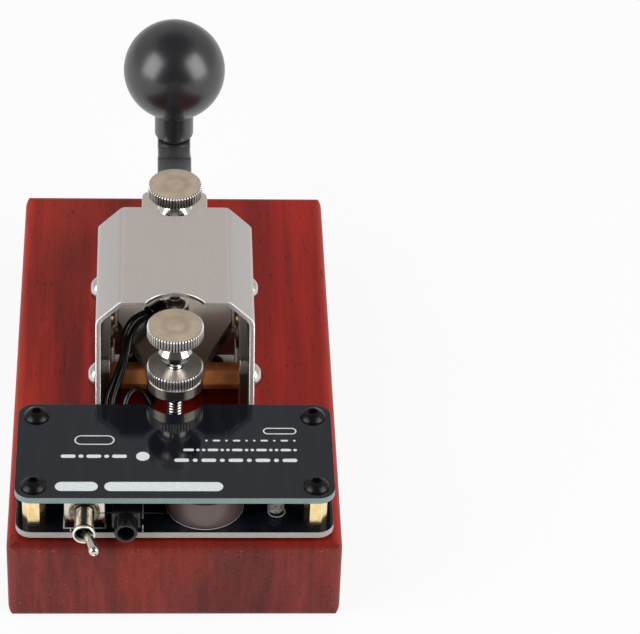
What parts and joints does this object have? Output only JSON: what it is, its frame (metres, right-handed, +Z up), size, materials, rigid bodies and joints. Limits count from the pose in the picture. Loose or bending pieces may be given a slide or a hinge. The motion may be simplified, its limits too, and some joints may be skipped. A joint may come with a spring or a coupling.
{
  "type": "straight telegraph practice key",
  "caption": "Hand telegraph key: sprung lever with a ball knob under an arched cover on a wooden base, with a small sounder board.",
  "frame": {"origin": "centre of the underside of the wooden base", "axes": "+Z up, -Y towards the ball knob and the operator, +Y towards the sounder board, +X to the right of the operator"},
  "size_m": [0.074, 0.1721, 0.0588],
  "materials": {
    "stained_wood": "red-stained hardwood, oiled",
    "satin_aluminium": "bead-blasted satin",
    "black_steel": "black oxide",
    "stainless": "polished",
    "nickel": "satin nickel plate",
    "brass": "turned",
    "spring_steel": "drawn wire",
    "black_plastic": "polished",
    "black_board": "satin solder mask",
    "white_plastic": "moulded",
    "brown_plastic": "moulded",
    "clear_plastic": "clear resin",
    "red_plastic": "moulded",
    "wire_jacket": "smooth insulation"
  },
  "bodies": {
    "base": {"wood_base": "stained_wood", "bracket": "satin_aluminium", "bracket_screws": "black_steel", "cover": "satin_aluminium", "side_screws": "stainless", "front_cross_bar": "brass", "rear_cross_bar": "brass", "pivot_bushes": "brass", "anvil": "brass", "rear_stop": "stainless", "return_spring": "spring_steel", "spring_cup": "brass", "lower_board": "black_board", "upper_board": "black_board", "board_washers": "white_plastic", "board_pillars": "brass", "board_screws": "black_steel", "base_bolts": "stainless", "sounder": "brown_plastic", "lamp": "clear_plastic", "lamp_resistor": "black_plastic", "socket_housing": "black_plastic", "socket_contacts": "nickel", "switch_housing": "red_plastic", "switch_frame": "white_plastic", "switch_bushing": "nickel", "cell_holder": "black_plastic", "button_cell": "stainless", "lever_wires": "wire_jacket", "contact_wire": "wire_jacket"},
    "lever": {"lever": "stainless", "pivot_block": "satin_aluminium", "pivot_axle": "stainless", "lug_screw": "stainless", "wire_lug": "nickel", "lug_sleeve": "wire_jacket", "contact_screw": "stainless", "contact_nut": "stainless", "ball_knob": "black_plastic", "knob_screw": "stainless"},
    "front_thumb_screw": {"front_thumb_screw": "nickel"},
    "front_lock_nut": {"front_lock_nut": "nickel"},
    "rear_thumb_screw": {"rear_thumb_screw": "nickel"},
    "rear_lock_nut": {"rear_lock_nut": "nickel"},
    "switch_lever": {"switch_lever": "nickel"}
  },
  "joints": [
    {"name": "key_press", "type": "hinge", "parent": "base", "child": "lever", "pos_m": [0, 0.0016, 0.0308], "axis": [1, 0, 0], "range_deg": [0, 1.4], "stiffness_Nm_per_rad": 0.5, "springref_deg": -8.02, "deforming": ["return_spring"]},
    {"name": "front_screw_turn", "type": "hinge", "parent": "lever", "child": "front_thumb_screw", "pos_m": [0, -0.0231, 0.05], "axis": [0, 0, 1], "range_deg": [-360, 360]},
    {"name": "front_nut_turn", "type": "hinge", "parent": "lever", "child": "front_lock_nut", "pos_m": [0, -0.0231, 0.04], "axis": [0, 0, 1], "range_deg": [-360, 360]},
    {"name": "rear_screw_turn", "type": "hinge", "parent": "lever", "child": "rear_thumb_screw", "pos_m": [0, 0.0267, 0.05], "axis": [0, 0, 1], "range_deg": [-360, 360]},
    {"name": "rear_nut_turn", "type": "hinge", "parent": "lever", "child": "rear_lock_nut", "pos_m": [0, 0.0267, 0.04], "axis": [0, 0, 1], "range_deg": [-360, 360]},
    {"name": "switch_tilt", "type": "hinge", "parent": "base", "child": "switch_lever", "pos_m": [0.0198, 0.065, 0.0274], "axis": [0, 0, 1], "range_deg": [-30, 0]}
  ]
}
